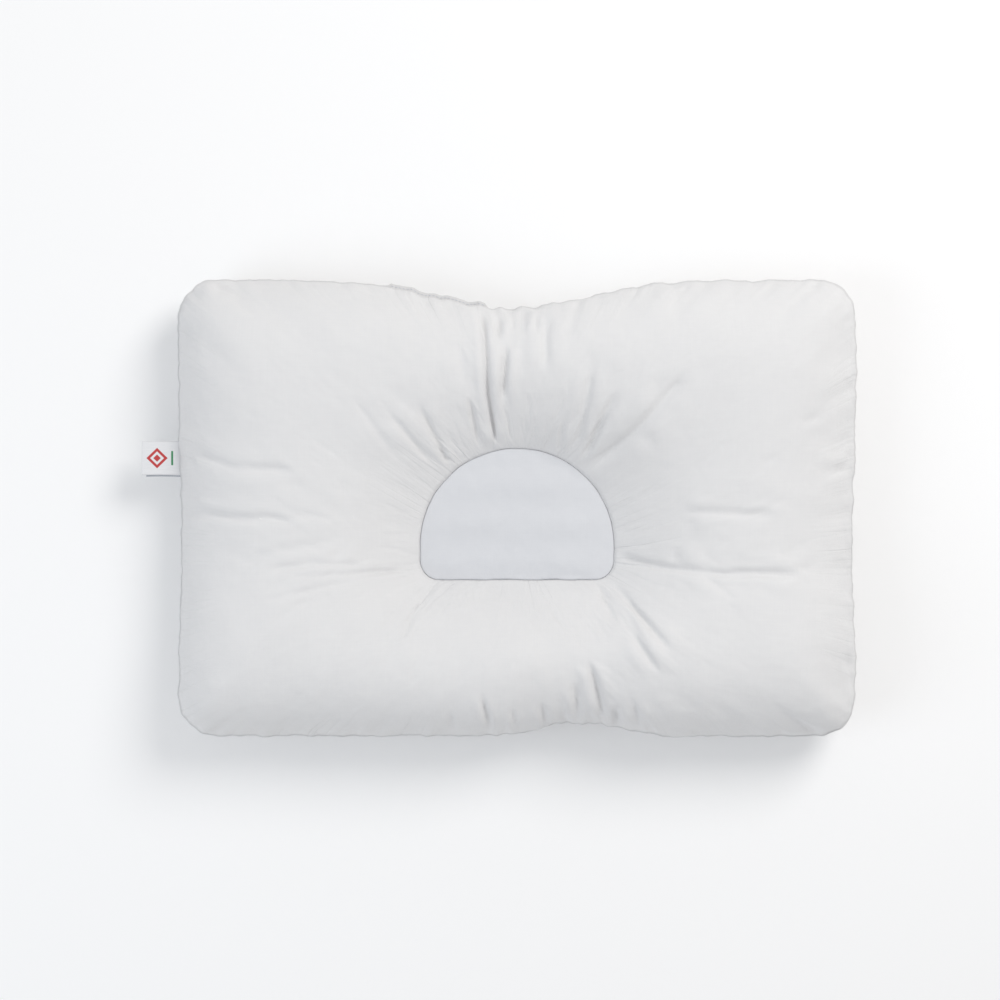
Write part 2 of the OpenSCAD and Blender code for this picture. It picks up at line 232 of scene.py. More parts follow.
# Folds in the top panel: points (x, y) in mm along each valley, then its depth and half width in mm.
TOP_FOLDS = [
    ([(-32, 178), (-28, 140), (-26, 100), (-18, 54)], 3.0, 3.6),
    ([(-15, 174), (-18, 146)], 3.0, 3.0),
    ([(-9, 150), (-13, 92)], 3.0, 3.6),
    ([(-3, 176), (-4, 156)], 2.6, 2.8),
    ([(17, 176), (17, 152)], 2.6, 3.2),
    ([(26, 176), (25, 118)], 1.8, 6.0),
    ([(40, 182), (40, 166)], 2.0, 3.2),
    ([(-43, 104), (-34, 50)], 1.6, 4.5),
    ([(-52, 150), (-47, 110)], 1.2, 6.0),
    ([(-70, 56), (-59, 33)], 1.5, 3.5),
    ([(40, 84), (40, 40)], 1.4, 4.5),
    ([(66, 128), (54, 48)], 1.8, 5.0),
    ([(77, 84), (60, 42)], 1.8, 4.0),
    ([(-116, 87), (-73, 35)], 2.0, 5.0),
    ([(-88, 94), (-60, 35)], 1.8, 4.5),
    ([(-146, 100), (-107, 43)], 1.4, 6.0),
    ([(89, 106), (57, 38)], 1.8, 5.0),
    ([(150, 120), (104, 66), (63, 33)], 2.4, 7.0),
    ([(-302, -4), (-245, -8), (-196, -11)], 2.0, 4.0),
    ([(-224, -55), (-180, -49), (-132, -50)], 1.7, 4.0),
    ([(-208, -61), (-98, -56)], 1.5, 4.0),
    ([(-230, -82), (-188, -73), (-142, -64)], 1.4, 4.5),
    ([(-297, 54), (-253, 36), (-194, 33)], 1.8, 5.5),
    ([(308, 36), (262, 33)], 1.8, 4.0),
    ([(232, -6), (144, -3)], 1.5, 4.5),
    ([(252, -59), (176, -57), (133, -53), (88, -43)], 2.4, 5.5),
    ([(305, -49), (270, -50)], 1.8, 3.5),
    ([(278, 82), (246, 77)], 1.2, 4.0),
    ([(90, -76), (112, -98), (136, -128)], 2.2, 5.0),
    ([(99, -107), (126, -148)], 2.0, 4.5),
    ([(62, -132), (70, -160), (78, -190)], 2.8, 4.0),
    ([(50, -150), (55, -192)], 2.2, 4.0),
    ([(86, -172), (92, -200)], 3.6, 3.6),
    ([(100, -165), (112, -200)], 1.8, 4.0),
    ([(-33, -160), (-23, -200)], 2.4, 3.2),
    ([(-60, -176), (-56, -202)], 1.6, 3.0),
    ([(-6, -172), (0, -202)], 1.6, 3.2),
    ([(20, -168), (27, -200)], 1.8, 3.6),
]


def fold_depths(x, y, folds, sharp=False):
    """How deep each point lies in the folds: a valley, round or sharp, between two raised banks."""
    total = np.zeros(x.shape)
    for points, depth, width in folds:
        route = np.array(points) / 1000
        width = width / 1000
        depth = depth / 1000
        near = np.full(x.shape, np.inf)
        along = np.zeros(x.shape)
        before = 0.0
        for a, b in zip(route[:-1], route[1:]):
            step = b - a
            size = np.linalg.norm(step)
            share = np.clip(((x - a[0]) * step[0] + (y - a[1]) * step[1]) / size ** 2, 0, 1)
            gap = np.hypot(x - a[0] - share * step[0], y - a[1] - share * step[1])
            closer = gap < near
            near = np.where(closer, gap, near)
            along = np.where(closer, before + share * size, along)
            before += size
        ends = ease(along / FOLD_TIP) * ease((before - along) / FOLD_TIP)
        valley = np.exp(-near / width) if sharp else np.exp(-(near / width) ** 2)
        bank = np.exp(-((near - 2 * width) / (BANK_WIDTH * width)) ** 2)
        total += depth * ends * (valley - BANK_SHARE * bank)
    return total


EVEN_ROWS = 0.45


def row_shares(count):
    """Where rows lie between the D seam (0) and the edge seam (1): close together at the edge."""
    t = np.arange(count + 1) / count
    closing_up = (t - EVEN_ROWS) / (1 - EVEN_ROWS)
    return np.where(t < EVEN_ROWS, t / (2 * EVEN_ROWS), 0.5 + 0.5 * np.sin(closing_up * math.pi / 2))


def filled_cover():
    """Rows of points over the top panel from the D seam out, then over the back panel to the D's foot."""
    share = row_shares(TOP_ROWS)[:, None, None]
    top = head_line + (edge_line - head_line) * share
    x, y = top[..., 0], top[..., 1]
    z = loft_height(x, y, distance_to(edge_line, x, y), distance_to(head_line, x, y))
    z[-1] = SEAM_H
    top = np.dstack([x, y, z])
    share = row_shares(BACK_ROWS)[::-1][1:, None, None]
    back = head_line + (edge_line - head_line) * share
    x, y = back[..., 0], back[..., 1]
    rim = 1 - np.clip(distance_to(edge_line, x, y) / EDGE_ROUND, 0, 1)
    z = SEAM_H * (1 - np.sqrt(1 - rim ** RIM_FULLNESS)) + UNDERSIDE
    return np.concatenate([top, np.dstack([x, y, z])])


def row_normals(points):
    """Outward normals of a sheet of closed rows."""
    across = np.gradient(points, axis=0)
    along = np.roll(points, -1, axis=1) - np.roll(points, 1, axis=1)
    normal = np.cross(across, along)
    return normal / np.maximum(np.linalg.norm(normal, axis=2, keepdims=True), 1e-9)


def far_off(seed):
    """A place in the noise for each seed, well away from the others."""
    return Vector((seed * 7.3, seed * 3.1, seed * 5.7))


def smooth_noise(points, pitch, seed):
    """Soft random lumps at each point of a sheet of rows."""
    offset = far_off(seed)
    values = [noise.noise(Vector(p) / pitch + offset) for p in points.reshape(-1, 3)]
    return np.array(values).reshape(points.shape[:2])


def smooth_mesh(name, points, faces, cut=None):
    """A smooth-shaded piece. cut gives each point's place in its flat cloth, row by row."""
    mesh = bpy.data.meshes.new(name)
    mesh.from_pydata(np.asarray(points).tolist(), [], faces)
    if cut is not None:
        corners = np.empty(len(mesh.loops), dtype=np.int32)
        mesh.loops.foreach_get("vertex_index", corners)
        places = np.concatenate(cut)[corners]
        mesh.uv_layers.new(name="cut").data.foreach_set("uv", places.reshape(-1))
    mesh.shade_smooth()
    piece = bpy.data.objects.new(name, mesh)
    bpy.context.collection.objects.link(piece)
    return piece


def loft(name, loops, cut=None, first_cap=False, last_cap=False):
    """A sheet through loops of points. A loop may have twice or half the points of the one before.
    The caps fill the first and last loop."""
    starts = np.cumsum([0] + [len(points) for points in loops]).tolist()
    faces = []
    for low in range(len(loops) - 1):
        n, m = len(loops[low]), len(loops[low + 1])
        a, b = starts[low], starts[low + 1]
        if n == m:
            faces += [(a + k, b + k, b + (k + 1) % n, a + (k + 1) % n) for k in range(n)]
        elif n > m:
            faces += [(a + 2 * k, b + k, b + (k + 1) % m, a + (2 * k + 2) % n, a + 2 * k + 1)
                      for k in range(m)]
        else:
            faces += [(a + k, b + 2 * k, b + 2 * k + 1, b + (2 * k + 2) % m, a + (k + 1) % n)
                      for k in range(n)]
    if first_cap:
        faces.append(tuple(range(starts[1])))
    if last_cap:
        faces.append(tuple(range(starts[-1] - 1, starts[-2] - 1, -1)))
    return smooth_mesh(name, np.concatenate(loops), faces, cut)


def mark(piece, name, loops):
    """Stores a vector at each point of a sheet, for its material to read."""
    values = np.concatenate(loops).astype(np.float32)
    marks = piece.data.attributes.new(name, "FLOAT_VECTOR", "POINT")
    marks.data.foreach_set("vector", values.reshape(-1))


def vertex_array(piece):
    """The places of a piece's vertices, one row for each."""
    points = np.empty(len(piece.data.vertices) * 3)
    piece.data.vertices.foreach_get("co", points)
    return points.reshape(-1, 3)


def only(piece):
    """Selects one piece and nothing else."""
    bpy.ops.object.select_all(action="DESELECT")
    bpy.context.view_layer.objects.active = piece
    piece.select_set(True)


def apply_modifier(piece, kind, **settings):
    """Adds a modifier and makes it part of the mesh."""
    modifier = piece.modifiers.new(kind.lower(), kind)
    for name, value in settings.items():
        setattr(modifier, name, value)
    only(piece)
    bpy.ops.object.modifier_apply(modifier=modifier.name)


BIG_LUMP, BIG_LUMP_PITCH = 0.0015, 0.045
SMALL_LUMP, SMALL_LUMP_PITCH = 0.0007, 0.018
INNER_ROW_FREE, EDGE_ROW_FREE = 0.5, 0.4
COVER_EASE = 0.045
LEAST_EASE, HEAD_EASE = 0.1, 0.7
EASE_SPAN = 0.03
EDGE_PIN = 0.8
BED_SIZE = 1.2
FRAMES = 16
MOST_SWELL = 0.012
LOWEST = 0.0008


def crumpled_cover():
    """The filled cover with its folds laid in and soft lumps of fibre behind it."""
    rows = filled_cover()
    out = row_normals(rows)
    lumps = BIG_LUMP * smooth_noise(rows, BIG_LUMP_PITCH, 1) \
        + SMALL_LUMP * smooth_noise(rows, SMALL_LUMP_PITCH, 2)
    on_top = (np.arange(len(rows)) <= TOP_ROWS)[:, None]
    folds = fold_depths(rows[..., 0], rows[..., 1], TOP_FOLDS) * on_top
    free = np.ones((len(rows), 1))
    free[[0, -1]] = 0
    free[1] = INNER_ROW_FREE
    free[TOP_ROWS] = EDGE_ROW_FREE
    rows = rows + out * ((lumps - folds) * free)[..., None]
    rows[..., 2] = np.maximum(rows[..., 2], UNDERSIDE)
    return rows


def blow_up(rows):
    """Lets the fabric swell against its seams: it has spare width by the edge and by the D."""
    cover = loft("cover", rows)
    pins = cover.vertex_groups.new(name="seams")
    spare = cover.vertex_groups.new(name="spare")
    row_ids = np.arange(rows.size // 3).reshape(rows.shape[:2]).tolist()
    pins.add(row_ids[0] + row_ids[-1], 1.0, "REPLACE")
    pins.add(row_ids[TOP_ROWS], EDGE_PIN, "REPLACE")
    x, y = rows[..., 0], rows[..., 1]
    by_edge = bell(distance_to(edge_line, x, y), 0, EASE_SPAN)
    by_head = HEAD_EASE * bell(distance_to(head_line, x, y), 0, EASE_SPAN)
    growth = LEAST_EASE + (1 - LEAST_EASE) * np.maximum(by_edge, by_head)
    for index, share in enumerate(growth.reshape(-1).tolist()):
        spare.add([index], share, "REPLACE")
    bpy.ops.mesh.primitive_plane_add(size=BED_SIZE, location=(0, 0, 0))
    bed = bpy.context.object
    bed.modifiers.new("bed", "COLLISION")
    bed.collision.thickness_outer = 0.001
    cloth = cover.modifiers.new("cloth", "CLOTH")
    fabric = cloth.settings
    fabric.quality = 6
    fabric.mass = 0.001
    fabric.air_damping = 1
    fabric.tension_stiffness = 300
    fabric.compression_stiffness = 100
    fabric.shear_stiffness = 30
    fabric.bending_stiffness = 0.05
    fabric.bending_damping = 0.1
    fabric.vertex_group_mass = "seams"
    fabric.pin_stiffness = 20
    fabric.vertex_group_shrink = "spare"
    fabric.shrink_max = -COVER_EASE
    fabric.use_pressure = True
    fabric.uniform_pressure_force = 60
    fabric.effector_weights.gravity = 0
    cloth.collision_settings.distance_min = 0.001
    for tick in range(1, FRAMES + 1):
        bpy.context.scene.frame_set(tick)
    only(cover)
    bpy.ops.object.modifier_apply(modifier="cloth")
    blown = vertex_array(cover).reshape(rows.shape)
    bpy.data.objects.remove(cover)
    bpy.data.objects.remove(bed)
    moved = blown - rows
    far = np.linalg.norm(moved, axis=2, keepdims=True)
    blown = rows + moved * np.minimum(1, MOST_SWELL / np.maximum(far, 1e-9))
    blown[..., 2] = np.maximum(blown[..., 2], LOWEST)
    return blown


CORNER_SPAN, CORNER_CALM, CORNER_PASSES = 0.022, 0.5, 14


def calm_corners(rows):
    """Evens out the pinches that the swollen cloth makes on the diagonals of its corners."""
    near = sum(bell(turn, at, CORNER_SPAN) for at in CORNER_TURNS)
    share = CORNER_CALM * near[None, :, None] * np.ones((len(rows), 1, 1))
    share[[0, TOP_ROWS, -1]] = 0
    for _ in range(CORNER_PASSES):
        rows = rows + share * ((np.roll(rows, 1, axis=1) + np.roll(rows, -1, axis=1)) / 2 - rows)
    return rows


cover_rows = crumpled_cover()
cover_rows = calm_corners(blow_up(cover_rows))


# ---- Cover: gathers at its seams ----------------------------------------------------------------
# The blown-up cover is sampled twice as finely. Its two seams pull the cloth into small gathers, most
# of all at the two waists, and neither seam runs quite true.

CLOSING_LIP, CLOSING_X, CLOSING_LENGTH = 0.004, -0.072, 0.084
SEAM_ALLOWANCE = 0.009
CLOTH_T = 0.0006
SHOWN_T = 0.8 * CLOTH_T
BACK_Z = 0.0006
SHORT_PUCKER, SHORT_PITCH, SHORT_RUN = 0.0022, 0.010, 0.013
LONG_PUCKER, LONG_PITCH, LONG_RUN = 0.0018, 0.022, 0.05
TUCK, TUCK_PITCH, TUCK_START, TUCK_RUN = 0.0012, 0.009, 0.004, 0.02
CRUMPLE, CRUMPLE_PITCH = 0.00035, 0.013
FINE_CRUMPLE, FINE_CRUMPLE_PITCH = 0.0002, 0.006
FOLD_SHARE, FOLD_SHARPNESS = 0.55, 0.48
SEAM_HOLD, SEAM_SWAY = 0.003, 0.007
MORE_AT_WAIST = 1.3
CROWN_GATHER_X, CROWN_GATHER_SPAN = 0, 0.07
NECK_GATHER_X, NECK_GATHER_SPAN = 0.06, 0.06
SWAY, SWAY_PITCH = 0.0017, 0.013
FINE_SWAY, FINE_SWAY_PITCH = 0.0009, 0.0065
DROOP, DROOP_PITCH = 0.0022, 0.024


def halfway(points, axis):
    """Points with new ones between them, on a smooth curve. Axis 1 runs round, axis 0 has two ends."""
    if axis == 1:
        before, after = np.roll(points, 1, axis=1), np.roll(points, -1, axis=1)
        middle = (9 * (points + after) - before - np.roll(points, -2, axis=1)) / 16
        return np.stack([points, middle], 2).reshape(len(points), -1, points.shape[2])
    padded = np.concatenate([2 * points[:1] - points[1:2], points, 2 * points[-1:] - points[-2:-1]])
    middle = (9 * (padded[1:-2] + padded[2:-1]) - padded[:-3] - padded[3:]) / 16
    woven = np.empty((2 * len(points) - 1,) + points.shape[1:])
    woven[::2], woven[1::2] = points, middle
    return woven


def finer(points):
    """Rows sampled twice as finely both ways."""
    return halfway(halfway(points, 0), 1)


def line_noise(line, pitch, seed):
    """Soft random values at each point of a flat line."""
    offset = far_off(seed)
    return np.array([noise.noise(Vector((x, y, 0)) / pitch + offset) for x, y in line])


def line_out(line):
    """The outward direction of a closed line at each of its points."""
    along = np.roll(line, -1, axis=0) - np.roll(line, 1, axis=0)
    out = np.stack([along[:, 1], -along[:, 0]], -1)
    return out / np.linalg.norm(out, axis=1, keepdims=True)


fine_edge = halfway(edge_line[None], 1)[0]
fine_head = halfway(head_line[None], 1)[0]
edge_out = line_out(fine_edge)
reach = np.linalg.norm(fine_edge - fine_head, axis=1)
edge_x, edge_y = fine_edge.T
at_crown = (edge_y > HALF_D / 2) * bell(edge_x, CROWN_GATHER_X, CROWN_GATHER_SPAN)
at_neck = (edge_y < -HALF_D / 2) * bell(edge_x, NECK_GATHER_X, NECK_GATHER_SPAN)
gathered = 1 + MORE_AT_WAIST * (at_crown + at_neck)


def gathers(rows, share, seed, folds=()):
    """Raises and sinks the cloth in small puckers that run in from both of its seams. share is
    where each row lies between the D seam and the edge seam."""
    edge_gap = (1 - share)[:, None] * reach
    head_gap = share[:, None] * reach
    short = SHORT_PUCKER * line_noise(fine_edge, SHORT_PITCH, seed) * gathered
    long = LONG_PUCKER * line_noise(fine_edge, LONG_PITCH, seed + 1) * gathered
    tucks = TUCK * line_noise(fine_head, TUCK_PITCH, seed + 2) * np.exp(-head_gap / TUCK_RUN)
    crumple = CRUMPLE * smooth_noise(rows, CRUMPLE_PITCH, seed + 3) \
        + FINE_CRUMPLE * smooth_noise(rows, FINE_CRUMPLE_PITCH, seed + 4)
    puckers = short * np.exp(-edge_gap / SHORT_RUN) + long * np.exp(-(edge_gap / LONG_RUN) ** 2)
    if folds:
        puckers = puckers - FOLD_SHARE * fold_depths(rows[..., 0], rows[..., 1], folds, sharp=True)
    free = 1 - np.exp(-(edge_gap / SEAM_HOLD) ** 2)
    lift = puckers * free + tucks * (1 - np.exp(-head_gap / TUCK_START)) + crumple
    lift[[0, -1]] = 0
    rows = rows + row_normals(rows) * lift[..., None]
    sway = SWAY * line_noise(fine_edge, SWAY_PITCH, 40) \
        + FINE_SWAY * line_noise(fine_edge, FINE_SWAY_PITCH, 41)
    droop = DROOP * line_noise(fine_edge, DROOP_PITCH, 42)
    near = np.exp(-edge_gap / SEAM_SWAY)
    rows[..., :2] += near[..., None] * (sway * gathered)[:, None] * edge_out
    rows[..., 2] += near * droop * gathered
    return rows


HEAD_WOBBLE, WOBBLE_ROWS = 0.0005, 6
WOBBLE_PITCH, FINE_WOBBLE_PITCH = 0.022, 0.009


def wobble(points, line):
    """Moves points by the D seam sideways, as its stitching wanders."""
    amount = line_noise(line, WOBBLE_PITCH, 50) + 0.5 * line_noise(line, FINE_WOBBLE_PITCH, 51)
    moved = points.copy()
    moved[..., :2] += HEAD_WOBBLE * amount[:, None] * line_out(line)
    return moved


sharp_folds = [(points, depth, FOLD_SHARPNESS * width) for points, depth, width in TOP_FOLDS]
top_share = halfway(row_shares(TOP_ROWS)[:, None, None], 0)[:, 0, 0]
back_share = halfway(row_shares(BACK_ROWS)[::-1][:, None, None], 0)[:, 0, 0]
top_rows = gathers(finer(cover_rows[:TOP_ROWS + 1]), top_share, 10, sharp_folds)
back_rows = gathers(finer(cover_rows[TOP_ROWS:])[::-1], back_share[::-1], 20)
seam = top_rows[-1].copy()
back_rows[-1] = seam
for k in range(WOBBLE_ROWS):
    top_rows[k] += (wobble(top_rows[k], fine_head) - top_rows[k]) * (1 - k / WOBBLE_ROWS)
back_rows[..., 2] = np.maximum(back_rows[..., 2], BACK_Z)


def cloth_places(rows):
    """Each point's place in the flat cloth: out from the D line, as far as the cloth runs to it."""
    steps = np.linalg.norm(np.diff(rows, axis=0), axis=2)
    run = np.concatenate([np.zeros((1, rows.shape[1])), np.cumsum(steps, axis=0)])
    direction = (fine_edge - fine_head) / reach[:, None]
    return fine_head + direction * run[..., None]


def lip_width():
    """How far the cover's edge stands out past the stitches: most along the closing seam."""
    past = abs(edge_x - CLOSING_X) - CLOSING_LENGTH / 2
    closing = (edge_y > 0) * (1 - ease(past / CLOSING_LIP))
    return RIDGE + (CLOSING_LIP - RIDGE) * closing


def seam_loops(side):
    """A panel's edge outside the stitches, its fold, and its raw edge turned in.
    side is 1 above the seam and -1 below it."""
    lip = lip_width()[:, None]
    levels = ((lip, 1.0), (lip + CLOTH_T / 2, 0.5), (lip, 0.15), (-SEAM_ALLOWANCE, 0.12))
    return [np.column_stack([seam[:, :2] + edge_out * out, seam[:, 2] + side * CLOTH_T * level])
            for out, level in levels]


def thin(points, count):
    """Evenly spaced points of a line, so that count are left."""
    return points[:: len(points) // count]


def by_seam(line, gaps, rows):
    """For each point of the rows: where its column meets a seam, and how far from the seam it is."""
    return [np.column_stack([thin(line, len(row)), thin(gap, len(row))])
            for gap, row in zip(gaps, rows)]


# ---- Cloth of the cover -------------------------------------------------------------------------
# All three panels are plain-woven cotton and polyester, bleached white, with a faint slub. The yarns
# follow the cut of each panel, so the pattern reads the piece's own map of its flat cloth, in metres.

GATHER_STRETCH, CREASE_HALF_W = 0.07, 0.09
FINE_GATHER, FINE_GATHER_STRETCH = 2.6, 0.12
GATHER_PATCHES = 14


class Wire:
    """One value or colour in a material. Arithmetic on a value adds the Math nodes for it."""

    def __init__(self, paint, socket):
        self.paint = paint
        self.socket = socket

    def maths(self, operation, *values):
        return self.paint.node("ShaderNodeMath", {"operation": operation}, dict(enumerate(values)))

    def __add__(self, other):
        return self.maths("ADD", self, other)

    def __sub__(self, other):
        return self.maths("SUBTRACT", self, other)

    def __rsub__(self, other):
        return self.maths("SUBTRACT", other, self)

    def __mul__(self, other):
        return self.maths("MULTIPLY", self, other)

    __radd__ = __add__
    __rmul__ = __mul__

    def sine(self):
        return self.maths("SINE", self)

    def size(self):
        return self.maths("ABSOLUTE", self)

    def below(self, limit, soft):
        """1 under the limit, 0 over it, with a soft edge."""
        settings = {"interpolation_type": "SMOOTHSTEP"}
        values = {0: self, 1: limit - soft, 2: limit + soft, 3: 1.0, 4: 0.0}
        return self.paint.node("ShaderNodeMapRange", settings, values)


class Paint:
    """A material. Its method node is the only one that adds a node."""

    def __init__(self, name, **constants):
        self.material = bpy.data.materials.new(name)
        self.material.use_nodes = True
        self.tree = self.material.node_tree
        self.shader = self.tree.nodes["Principled BSDF"]
        for socket, value in constants.items():
            self.shader.inputs[socket.replace("_", " ")].default_value = value

    def node(self, kind, settings=None, values=None, out=0):
        node = self.tree.nodes.new(kind)
        for name, value in (settings or {}).items():
            setattr(node, name, value)
        for key, value in (values or {}).items():
            if isinstance(value, Wire):
                self.tree.links.new(value.socket, node.inputs[key])
            else:
                node.inputs[key].default_value = value
        return Wire(self, node.outputs[out])

    def cloth_map(self):
        """Where a point lies in its piece's flat cloth, in metres."""
        return self.node("ShaderNodeUVMap", {"uv_map": "cut"})

    def object_place(self):
        """Where a point lies in the object, in metres."""
        return self.node("ShaderNodeTexCoord", out=3)

    def axes(self, vector):
        """The three parts of a vector."""
        parts = self.node("ShaderNodeSeparateXYZ", values={0: vector}).socket.node
        return [Wire(self, socket) for socket in parts.outputs]

    def bump(self, strength, height):
        """A height in metres as small relief."""
        values = {"Strength": strength, "Distance": 1.0, "Height": height}
        return self.node("ShaderNodeBump", values=values)

    def gathers(self, name, pitch, reach, depth):
        """Small sharp creases that run in from a seam and fade out. The piece's own marks, by the
        name given, say where along the seam a point is and how far from it."""
        place = self.node("ShaderNodeAttribute", {"attribute_name": name}, out=1)
        _, _, gap = self.axes(place)
        ripple = self.noise(place, 1 / pitch, 1.5, (1, 1, GATHER_STRETCH))
        crease = (ripple - 0.5).size().below(0.0, CREASE_HALF_W)
        finer = self.noise(place, FINE_GATHER / pitch, 1, (1, 1, FINE_GATHER_STRETCH))
        fade = gap.below(reach / 2, reach / 2)
        strong = self.noise(place, GATHER_PATCHES, 1, (1, 1, 0)) * 3 - 0.9
        return (0.5 * finer + ripple - 0.8 * crease) * fade * strong * depth

    def noise(self, vector, scale, detail, stretch=(1, 1, 1)):
        """Soft noise from 0 to 1, drawn out along the axes whose stretch is small."""
        stretched = self.node("ShaderNodeMapping", values={"Vector": vector, "Scale": stretch})
        values = {"Vector": stretched, "Scale": scale, "Detail": detail}
        return self.node("ShaderNodeTexNoise", values=values)

    def blend(self, share, first, second):
        """The first colour where the share is 0 and the second where it is 1."""
        values = {0: share, 6: (*first, 1) if isinstance(first, tuple) else first, 7: (*second, 1)}
        return self.node("ShaderNodeMix", {"data_type": "RGBA"}, values, out=2)

    def wear(self, piece, **links):
        """Links the shader's sockets and puts the material on a piece."""
        for socket, wire in links.items():
            self.tree.links.new(wire.socket, self.shader.inputs[socket.replace("_", " ")])
        self.put_on(piece)

    def put_on(self, piece):
        piece.data.materials.clear()
        piece.data.materials.append(self.material)


YARN = 0.00042
YARN_H, SLUB_H, CREASE_H = 0.00004, 0.00005, 0.0003
SLUB_SCALE, CREASE_SCALE, CLOUD_SCALE = 900, 150, 28
SLUB_STRETCH = 0.03


def woven_cloth(name, light, dark):
    """Plain weave: warp over weft over warp, uneven yarns, soft creases too small to model, and painted
    shade in the hollows of those creases.
    """
    paint = Paint(name, Roughness=0.86, Sheen_Weight=0.12, Sheen_Roughness=0.5, Specular_IOR_Level=0.25)
    place = paint.cloth_map()
    across, along, _ = paint.axes(place)
    turns = 2 * math.pi / YARN
    weave = (across * turns).sine() * (along * turns).sine()
    warp_slub = paint.noise(place, SLUB_SCALE, 1, (1, SLUB_STRETCH, 1))
    weft_slub = paint.noise(place, SLUB_SCALE, 1, (SLUB_STRETCH, 1, 1))
    crease = paint.noise(place, CREASE_SCALE, 3)
    cloud = paint.noise(place, CLOUD_SCALE, 3)
    # Random tone from the cloud and the slubs, plus painted shade: darker where the crease noise sinks the
    # cloth.
    tone_and_crease_shade = 0.45 * cloud + 0.3 * (warp_slub + weft_slub) + 0.25 * crease - 0.12
    gathered = paint.gathers("by_edge", pitch=0.011, reach=0.055, depth=0.0012) \
        + paint.gathers("by_head", pitch=0.0075, reach=0.08, depth=0.0013)
    height = YARN_H * weave + SLUB_H * (warp_slub + weft_slub) + CREASE_H * crease + gathered
    bump = paint.bump(0.7, height)
    return paint, {"Base_Color": paint.blend(tone_and_crease_shade, dark, light), "Normal": bump}


TICKING_LIGHT, TICKING_DARK = (0.81, 0.806, 0.805), (0.74, 0.739, 0.745)
ticking, ticking_links = woven_cloth("ticking", TICKING_LIGHT, TICKING_DARK)


# ---- Top panel ----------------------------------------------------------------------------------
# White ticking with a D-shaped hole. Its edge is turned down at the D seam and turned in at the edge
# seam, and the crown edge has a short flat lip where the pillow was sewn shut after it was filled.

# Rings of the edge that is turned down at the D: how far out of the D line, and how far below it.
TURNED_DOWN = ((0.0004, SEAM_ALLOWANCE), (0.0003, 0.004), (0.0002, 0.0016))
# How far the cloth runs past the edge seam, to each loop of its fold and its turned-in edge.
SEAM_RUNS = np.array([0.002, 0.003, 0.004, 0.012])
# A distance that is out of reach of a seam's creases.
NO_SEAM = 0.3


def head_ring(out, drop):
    """A ring of the D seam's own line, so far out from it and so far below it."""
    return wobble(np.column_stack([head_outline(turn, out), np.full(STATIONS, HEAD_H - drop)]), head_line)


turned_down = [head_ring(out, drop) for out, drop in TURNED_DOWN]
down_cut = [head_line - (edge_line - head_line) / reach[::2, None] * drop for _, drop in TURNED_DOWN]
top_cut = cloth_places(top_rows)
upper_cut = [top_cut[-1] + edge_out * run for run in SEAM_RUNS]
top_loops = turned_down + list(top_rows) + seam_loops(1)
top_panel = loft("cover_top", top_loops, down_cut + list(top_cut) + upper_cut)
top_gaps = [0 * reach] * len(TURNED_DOWN) + [share * reach for share in top_share] \
    + [reach] * len(SEAM_RUNS)
mark(top_panel, "by_edge", by_seam(fine_edge, [reach - gap for gap in top_gaps], top_loops))
mark(top_panel, "by_head", by_seam(fine_head, top_gaps, top_loops))
apply_modifier(top_panel, "SOLIDIFY", thickness=SHOWN_T, offset=-1)
ticking.wear(top_panel, **ticking_links)
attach(top_panel, "pillow")
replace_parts(top_panel, "top_panel")


# ---- Back panel ---------------------------------------------------------------------------------
# The same ticking without a hole. It lies flat on the bed in the middle and rises to the edge seam.

CENTRE = np.array([0, HEAD_Y + 0.02])
DISC_SHARES = (0.82, 0.62, 0.42, 0.24)
HALF_ROWS = len(back_rows) // 2


def half_as_fine(rows):
    """The rows from the edge seam to the D's foot, the inner half of them with half the points."""
    return list(rows[:HALF_ROWS:-1]) + [thin(row, STATIONS) for row in rows[HALF_ROWS::-1]]


foot = back_rows[0]
disc = []
for level, share in enumerate(DISC_SHARES):
    ring = CENTRE + (thin(foot[:, :2], STATIONS // 2 ** (level + 1)) - CENTRE) * share
    disc.append(np.column_stack([ring, np.full(len(ring), BACK_Z)]))
back_cut = cloth_places(back_rows)
lower_cut = [back_cut[-1] + edge_out * run for run in SEAM_RUNS[::-1]]
back_loops = seam_loops(-1)[::-1] + half_as_fine(back_rows) + disc
back_places = lower_cut + half_as_fine(back_cut) + [ring[:, :2] for ring in disc]
back_panel = loft("cover_back", back_loops, back_places, last_cap=True)
back_gaps = [0 * reach] * len(SEAM_RUNS) + [(1 - share) * reach for share in back_share] \
    + [reach] * len(DISC_SHARES)
mark(back_panel, "by_edge", by_seam(fine_edge, back_gaps, back_loops))
mark(back_panel, "by_head", by_seam(fine_head, [NO_SEAM + 0 * reach] * len(back_loops), back_loops))
apply_modifier(back_panel, "SOLIDIFY", thickness=SHOWN_T, offset=-1)
ticking.put_on(back_panel)
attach(back_panel, "pillow")
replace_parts(back_panel, "back_panel")


# ---- Head panel ---------------------------------------------------------------------------------
# A D of slightly cooler white over a thin pad. It is turned down all round and sewn to the top panel
# on the D seam, which holds it low, and the pad makes it swell in three soft bands.

HEAD_DOME = 0.0035
BAND_H, BAND_PITCH = 0.0009, 0.036
HEAD_SHARES = (0.16, 0.24, 0.32, 0.4, 0.48, 0.55, 0.62, 0.68, 0.74, 0.79, 0.84, 0.88, 0.92, 0.955, 0.985)
# Rings of its own turned-down edge, as for the top panel.
HEAD_RIM = ((-0.0006, 0.0001), (-0.00025, 0.0005), (-0.0007, 0.002), (-0.0009, SEAM_ALLOWANCE))
RIM_GAP, HEAD_GAP = 0.045, 0.35
HEAD_LUMP, HEAD_LUMP_PITCH = 0.0007, 0.02
HEAD_CREASE, HEAD_CREASE_PITCH = 0.0004, 0.008


def head_points(share):
    """How many points a ring of the head panel has: fewer towards its middle."""
    return STATIONS // (8 if share < 0.35 else 4 if share < 0.65 else 2 if share < 0.9 else 1)


